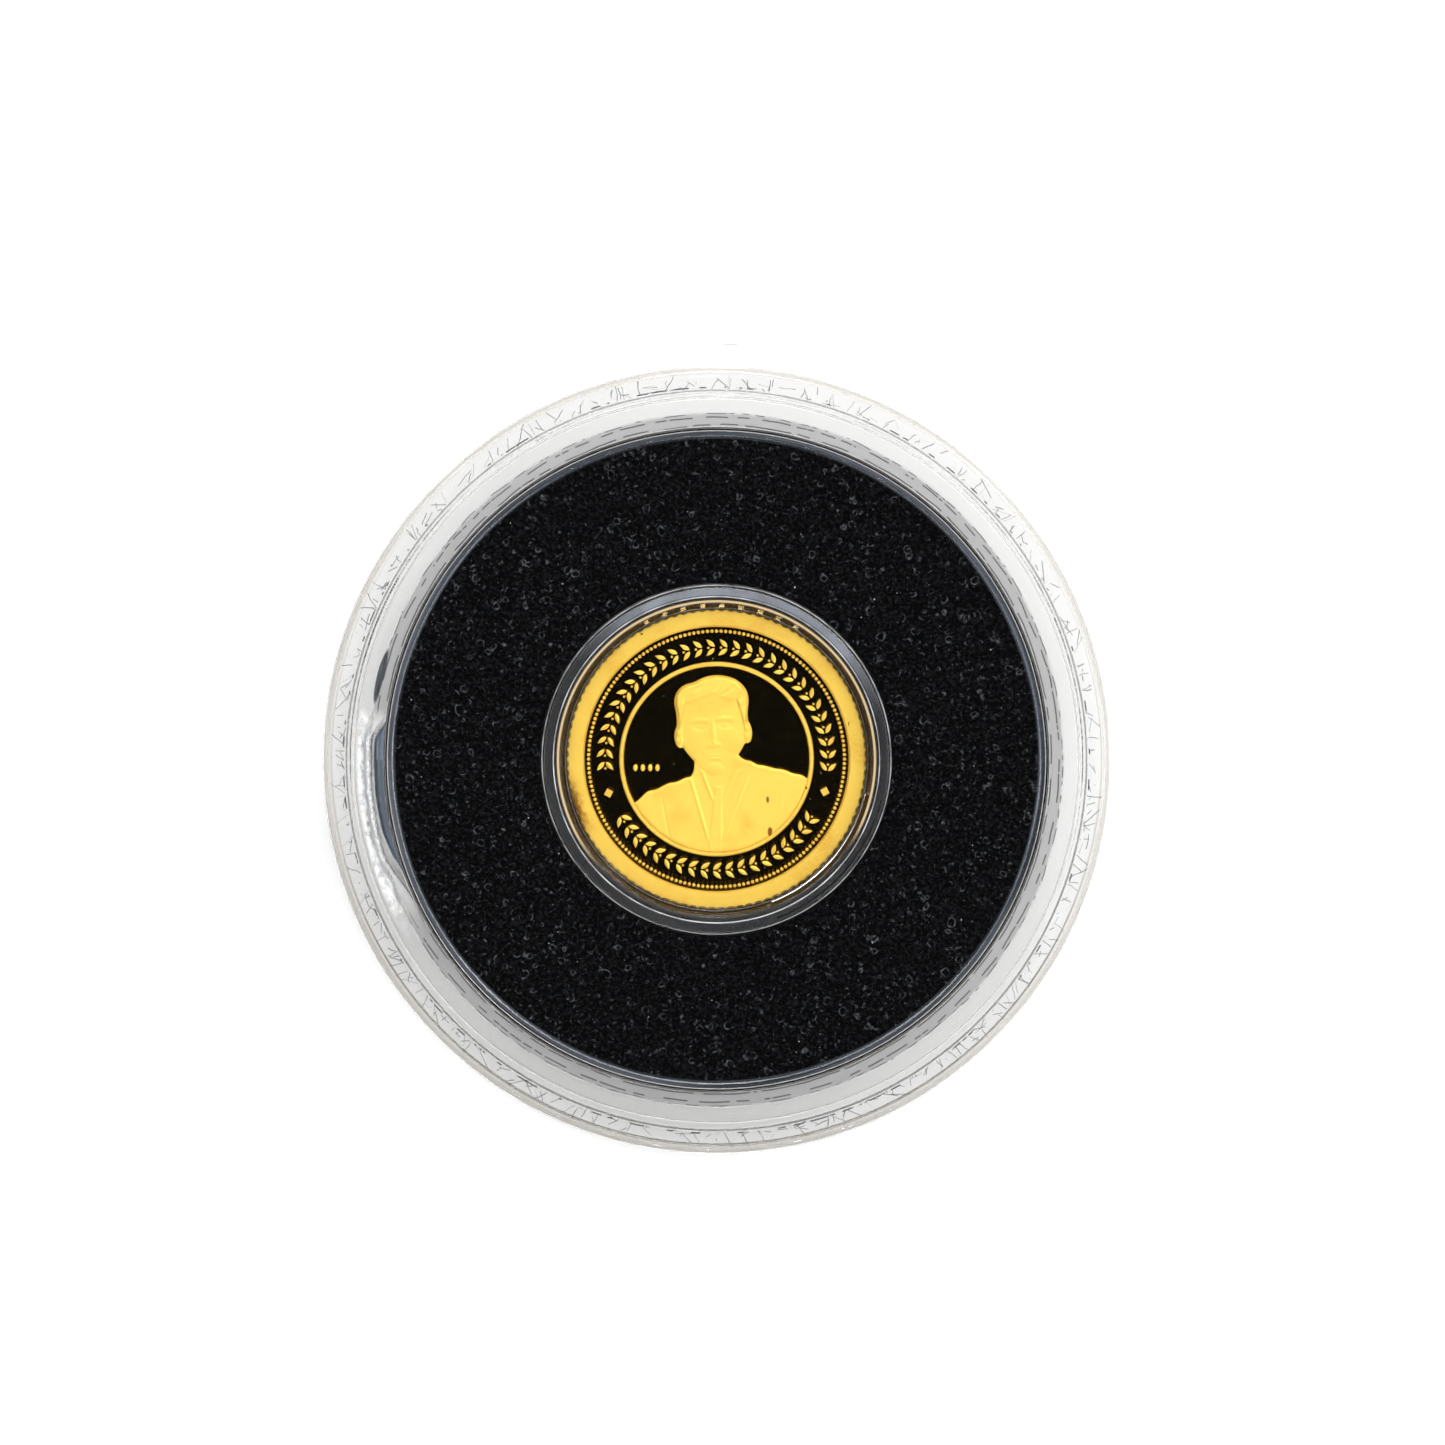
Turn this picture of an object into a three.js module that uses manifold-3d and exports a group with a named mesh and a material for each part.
// A small collector's coin in its storage capsule. Millimetres, +Z up, origin at the middle of the
// underside that the capsule stands on, +Y towards the top of the coin's design.
//
// From the outside in: two clear shells that hold by friction, a foam ring, a smaller clear capsule in
// the ring's hole, and the coin in the small capsule.

import * as THREE from 'three';
import { mergeVertices } from 'three/addons/utils/BufferGeometryUtils.js';
import Module from 'manifold-3d';

const wasm = await Module();
wasm.setup();

// ---- Driving dimensions ----------------------------------------------------------------------------

const SEGMENTS = 64; // facets round each turned piece
const ROUND_STEPS = 4; // facets over a rounded edge
const RUNNING_GAP = 0.05; // clearance between pieces that slide or rest on each other
const BAND_STEP = 3; // degrees between the points of a cut that follows a wall
const CUT_MARGIN = 0.3; // how far a cutting shape reaches past what it cuts

// The large capsule
const HEIGHT = 6.2;
const PARTING_Z = 3.12; // where the two shells meet at the side
const PARTING_CHAMFER = 0.08; // on both sides of the parting line
const SIDE_R = 14.36;
const SIDE_ROUND = 0.3; // rounding of the foot ring's and the rim's outer edge
const RING_INNER_R = 13.5; // inside of the flat on the foot ring and on the rim
const WINDOW_R = 13.3;
const WINDOW_RECESS = 0.35; // how far a window lies below its ring
const WALL_OUTER_R = 13.25; // upright wall of the base
const WALL_INNER_R = 12.2;
const WALL_TOP_Z = 4.95;
const WALL_LEAD_IN = 0.5;
const WALL_CHAMFER = 0.1; // on the wall's outer edge and inside the mouth of the lid's skirt
const FLOOR_Z = 1.35;
const FLOOR_FILLET = 0.4;
const CEILING_Z = 5.0; // underside of the lid over the wall
const BOSS_R = 11.72; // flat of the shallow boss under the lid
const BOSS_DEPTH = 0.4;

// The notch in the base's wall, where the lid is prised off
const NOTCH_FROM = 171;
const NOTCH_TO = 207;
const NOTCH_R = 12.72;
const NOTCH_FLOOR_Z = 3.2;
const NOTCH_SQUARENESS = 4; // power of the curve by which the notch runs out at its ends

// The stub left by the moulding gate on the lid's side, above the parting line
const GATE_ANGLE = 88;
const GATE_OVERHANG = 0.9;
const GATE_WIDTH = 0.7;
const GATE_THICKNESS = 0.25;
const GATE_LIFT = 0.15; // from the lid's lower edge to the stub

// The foam ring
const FOAM_OUTER_R = WALL_INNER_R - 0.1;
const FOAM_TOP_Z = CEILING_Z - BOSS_DEPTH - RUNNING_GAP;
const FOAM_CHAMFER = 0.15;

// The small capsule
const INNER_R = 6.42;
const INNER_BOTTOM_Z = FLOOR_Z + RUNNING_GAP;
const INNER_TOP_Z = 4.5;
const INNER_ROUND = 0.2;
const INNER_PARTING_Z = 2.85;
const INNER_WALL_OUTER_R = 5.98;
const INNER_WALL_INNER_R = 5.62;
const INNER_WALL_TOP_Z = 3.5;
const INNER_FLOOR_Z = 2.55;
const INNER_FOOT_RECESS = 0.2;
const INNER_LID_RECESS = 0.4;
const INNER_FOOT_SLOPE = 0.13; // width of the slope between the foot ring and the recess in it
const INNER_RIM_SLOPE = 0.2; // width of the slope between the raised rim and the window
const INNER_PLUG_R = 5.55;
const INNER_CHAMFER = 0.1;

// The recess in the inner lid's skirt, where a fingernail goes under it
const NAIL_FROM = 290;
const NAIL_TO = 347;
const NAIL_DEPTH = 0.22;
const NAIL_TOP_Z = 3.2;

// The coin
const COIN_R = 5.5;
const COIN_THICKNESS = 0.4;
const COIN_BOTTOM_Z = INNER_FLOOR_Z + 0.03;
const REEDS = 100;
const REED_DEPTH = 0.08;
const FIELD_R = 4.82; // where the raised rim ends
const FIELD_RECESS = 0.08;
const CIRCLE_OUTER_R = 3.56; // raised line round the middle of the design
const CIRCLE_INNER_R = 3.42;

// ---- Helpers ---------------------------------------------------------------------------------------

const radians = THREE.MathUtils.degToRad;

/** Points of an arc round (r, z) in a section, from one angle to another in degrees. */
function arc(r, z, radius, from, to) {
  const points = [];
  for (let i = 0; i <= ROUND_STEPS; i++) {
    const angle = radians(from + ((to - from) * i) / ROUND_STEPS);
    points.push([r + radius * Math.cos(angle), z + radius * Math.sin(angle)]);
  }
  return points;
}

/** A section of [r, z] points turned round the Z axis. */
function turned(section) {
  const points = section.map(([r, z]) => new THREE.Vector2(r, z));
  return new THREE.LatheGeometry(points, SEGMENTS).rotateX(Math.PI / 2);
}

/** An outline of [x, y] points drawn up along Z. */
function raised(outline, bottom, top) {
  const shape = new THREE.Shape(outline.map(([x, y]) => new THREE.Vector2(x, y)));
  const settings = { depth: top - bottom, bevelEnabled: false };
  return new THREE.ExtrudeGeometry(shape, settings).translate(0, 0, bottom);
}

/** The outline of a band round the axis. Its outer edge is given by a function of 0 to 1 along it. */
function bandOutline(from, to, inner, outerAt) {
  const steps = Math.ceil((to - from) / BAND_STEP);
  const outer = [];
  const back = [];
  for (let i = 0; i <= steps; i++) {
    const angle = radians(from + ((to - from) * i) / steps);
    const r = outerAt(i / steps);
    outer.push([r * Math.cos(angle), r * Math.sin(angle)]);
    back.unshift([inner * Math.cos(angle), inner * Math.sin(angle)]);
  }
  return [...outer, ...back];
}

/** A closed geometry as a solid that can be joined and cut. */
function solid(geometry) {
  const bare = geometry.clone();
  bare.deleteAttribute('normal');
  bare.deleteAttribute('uv');
  const merged = mergeVertices(bare, 1e-4);
  const index = Array.from(merged.index.array);
  const triVerts = [];
  for (let i = 0; i < index.length; i += 3) {
    const [a, b, c] = index.slice(i, i + 3);
    if (a !== b && b !== c && c !== a) triVerts.push(a, b, c);
  }
  const mesh = new wasm.Mesh({
    numProp: 3,
    vertProperties: new Float32Array(merged.attributes.position.array),
    triVerts: new Uint32Array(triVerts),
  });
  return new wasm.Manifold(mesh);
}

/** A solid as a geometry again. */
function geometryOf(body) {
  const mesh = body.getMesh();
  const geometry = new THREE.BufferGeometry();
  geometry.setAttribute('position', new THREE.BufferAttribute(mesh.vertProperties, 3));
  geometry.setIndex(new THREE.BufferAttribute(mesh.triVerts, 1));
  geometry.computeVertexNormals();
  return geometry;
}

function clearPlastic() {
  return new THREE.MeshStandardMaterial({
    color: 0xeef1f2,
    roughness: 0.06,
    metalness: 0,
    transparent: true,
    opacity: 0.35,
  });
}

function named(name, geometry, material) {
  const mesh = new THREE.Mesh(geometry, material);
  mesh.name = name;
  return mesh;
}

// ---- The large capsule -----------------------------------------------------------------------------

/** The lower shell: foot ring, floor, side, and the upright wall that the lid slides over. */
function baseShell() {
  const body = solid(turned([
    [0, WINDOW_RECESS],
    [WINDOW_R, WINDOW_RECESS],
    [RING_INNER_R, 0],
    ...arc(SIDE_R - SIDE_ROUND, SIDE_ROUND, SIDE_ROUND, -90, 0),
    [SIDE_R, PARTING_Z - PARTING_CHAMFER],
    [SIDE_R - PARTING_CHAMFER, PARTING_Z],
    [WALL_OUTER_R, PARTING_Z],
    [WALL_OUTER_R, WALL_TOP_Z - WALL_CHAMFER],
    [WALL_OUTER_R - WALL_CHAMFER, WALL_TOP_Z],
    [WALL_INNER_R + WALL_LEAD_IN, WALL_TOP_Z],
    [WALL_INNER_R, WALL_TOP_Z - WALL_LEAD_IN],
    ...arc(WALL_INNER_R - FLOOR_FILLET, FLOOR_Z + FLOOR_FILLET, FLOOR_FILLET, 0, -90),
    [0, FLOOR_Z],
  ]));
  const notchDepth = NOTCH_R - WALL_INNER_R;
  const edge = (along) => NOTCH_R - notchDepth * Math.pow(Math.abs(2 * along - 1), NOTCH_SQUARENESS);
  const outline = bandOutline(NOTCH_FROM, NOTCH_TO, WALL_INNER_R - CUT_MARGIN, edge);
  const notch = solid(raised(outline, NOTCH_FLOOR_Z, WALL_TOP_Z + CUT_MARGIN));
  return named('base_shell', geometryOf(body.subtract(notch)), clearPlastic());
}

/** The upper shell: raised rim, recessed window and skirt, with the stub of its gate. */
function lidShell() {
  const bottom = PARTING_Z + RUNNING_GAP;
  const skirtR = WALL_OUTER_R + RUNNING_GAP;
  const body = solid(turned([
    [0, CEILING_Z - BOSS_DEPTH],
    ...arc(BOSS_R, CEILING_Z, BOSS_DEPTH, -90, 0),
    [skirtR, CEILING_Z],
    [skirtR, bottom + WALL_CHAMFER],
    [skirtR + WALL_CHAMFER, bottom],
    [SIDE_R - PARTING_CHAMFER, bottom],
    [SIDE_R, bottom + PARTING_CHAMFER],
    ...arc(SIDE_R - SIDE_ROUND, HEIGHT - SIDE_ROUND, SIDE_ROUND, 0, 90),
    [RING_INNER_R, HEIGHT],
    [WINDOW_R, HEIGHT - WINDOW_RECESS],
    [0, HEIGHT - WINDOW_RECESS],
  ]));
  const length = 2 * GATE_OVERHANG; // half of it lies inside the side, which it joins
  const stub = new THREE.BoxGeometry(length, GATE_WIDTH, GATE_THICKNESS)
    .translate(SIDE_R, 0, bottom + GATE_LIFT + GATE_THICKNESS / 2)
    .rotateZ(radians(GATE_ANGLE));
  return named('lid_shell', geometryOf(body.add(solid(stub))), clearPlastic());
}

// ---- The foam ring ---------------------------------------------------------------------------------

/** A die-cut ring that fills the large capsule round the small one. */
function foamRing() {
  const inner = INNER_R + RUNNING_GAP;
  const bottom = FLOOR_Z + RUNNING_GAP;
  const cut = FOAM_CHAMFER;
  const fillet = FLOOR_FILLET;
  const geometry = turned([
    [inner, bottom],
    [FOAM_OUTER_R - fillet, bottom],
    [FOAM_OUTER_R, bottom + fillet],
    [FOAM_OUTER_R, FOAM_TOP_Z - cut],
    [FOAM_OUTER_R - cut, FOAM_TOP_Z],
    [inner + cut, FOAM_TOP_Z],
    [inner, FOAM_TOP_Z - cut],
    [inner, bottom],
  ]);
  const foam = new THREE.MeshStandardMaterial({ color: 0x101012, roughness: 0.95, metalness: 0 });
  return named('foam_ring', geometry, foam);
}

// ---- The small capsule -----------------------------------------------------------------------------

/** Its lower half: a shallow dish with the wall that the inner lid slides over. */
function innerBase() {
  const footR = INNER_WALL_INNER_R + INNER_FOOT_SLOPE;
  const geometry = turned([
    [0, INNER_BOTTOM_Z + INNER_FOOT_RECESS],
    [INNER_WALL_INNER_R, INNER_BOTTOM_Z + INNER_FOOT_RECESS],
    [footR, INNER_BOTTOM_Z],
    ...arc(INNER_R - INNER_ROUND, INNER_BOTTOM_Z + INNER_ROUND, INNER_ROUND, -90, 0),
    [INNER_R, INNER_PARTING_Z],
    [INNER_WALL_OUTER_R, INNER_PARTING_Z],
    [INNER_WALL_OUTER_R, INNER_WALL_TOP_Z - INNER_CHAMFER],
    [INNER_WALL_OUTER_R - INNER_CHAMFER, INNER_WALL_TOP_Z],
    [INNER_WALL_INNER_R + INNER_CHAMFER, INNER_WALL_TOP_Z],
    [INNER_WALL_INNER_R, INNER_WALL_TOP_Z - INNER_CHAMFER],
    [INNER_WALL_INNER_R, INNER_FLOOR_Z],
    [0, INNER_FLOOR_Z],
  ]);
  return named('inner_capsule_base', geometry, clearPlastic());
}

/** Its upper half: raised rim, recessed window, skirt, and a plug that keeps the coin flat. */
function innerLid() {
  const skirtR = INNER_WALL_OUTER_R + RUNNING_GAP;
  const channelZ = INNER_WALL_TOP_Z + RUNNING_GAP;
  const plugZ = COIN_BOTTOM_Z + COIN_THICKNESS + RUNNING_GAP;
  const skirtBottom = INNER_PARTING_Z + RUNNING_GAP;
  const windowZ = INNER_TOP_Z - INNER_LID_RECESS;
  const body = solid(turned([
    [0, plugZ],
    [INNER_PLUG_R - INNER_CHAMFER, plugZ],
    [INNER_PLUG_R, plugZ + INNER_CHAMFER],
    [INNER_PLUG_R, channelZ],
    [skirtR, channelZ],
    [skirtR, skirtBottom],
    [INNER_R, skirtBottom],
    ...arc(INNER_R - INNER_ROUND, INNER_TOP_Z - INNER_ROUND, INNER_ROUND, 0, 90),
    [INNER_PLUG_R + INNER_RIM_SLOPE, INNER_TOP_Z],
    [INNER_PLUG_R, windowZ],
    [0, windowZ],
  ]));
  const outline = bandOutline(NAIL_FROM, NAIL_TO, INNER_R - NAIL_DEPTH, () => INNER_R + CUT_MARGIN);
  const recess = solid(raised(outline, skirtBottom - CUT_MARGIN, NAIL_TOP_Z));
  return named('inner_capsule_lid', geometryOf(body.subtract(recess)), clearPlastic());
}

// ---- The coin --------------------------------------------------------------------------------------

/** A reeded blank with a raised rim and a raised circle round the middle on both faces. */
function coin() {
  const outline = [];
  for (let i = 0; i < 2 * REEDS; i++) {
    const angle = (i * Math.PI) / REEDS;
    const r = i % 2 ? COIN_R - REED_DEPTH : COIN_R;
    outline.push([r * Math.cos(angle), r * Math.sin(angle)]);
  }
  const top = COIN_BOTTOM_Z + COIN_THICKNESS;
  const blank = solid(raised(outline, COIN_BOTTOM_Z, top));
  const cutMiddle = (low, high) => solid(turned([
    [0, low],
    [CIRCLE_INNER_R, low],
    [CIRCLE_INNER_R, high],
    [0, high],
  ]));
  const cutBand = (low, high) => solid(turned([
    [CIRCLE_OUTER_R, low],
    [FIELD_R, low],
    [FIELD_R, high],
    [CIRCLE_OUTER_R, high],
    [CIRCLE_OUTER_R, low],
  ]));
  const faces = [
    [top - FIELD_RECESS, top + CUT_MARGIN],
    [COIN_BOTTOM_Z - CUT_MARGIN, COIN_BOTTOM_Z + FIELD_RECESS],
  ];
  let body = blank;
  for (const [low, high] of faces) {
    body = body.subtract(cutMiddle(low, high)).subtract(cutBand(low, high));
  }
  const gold = new THREE.MeshStandardMaterial({ color: 0xe9b741, roughness: 0.28, metalness: 1 });
  return named('coin', geometryOf(body), gold);
}

// ---- The assembly ----------------------------------------------------------------------------------

const capsule = new THREE.Group();
capsule.add(baseShell(), foamRing(), innerBase(), coin(), innerLid(), lidShell());

export default capsule;
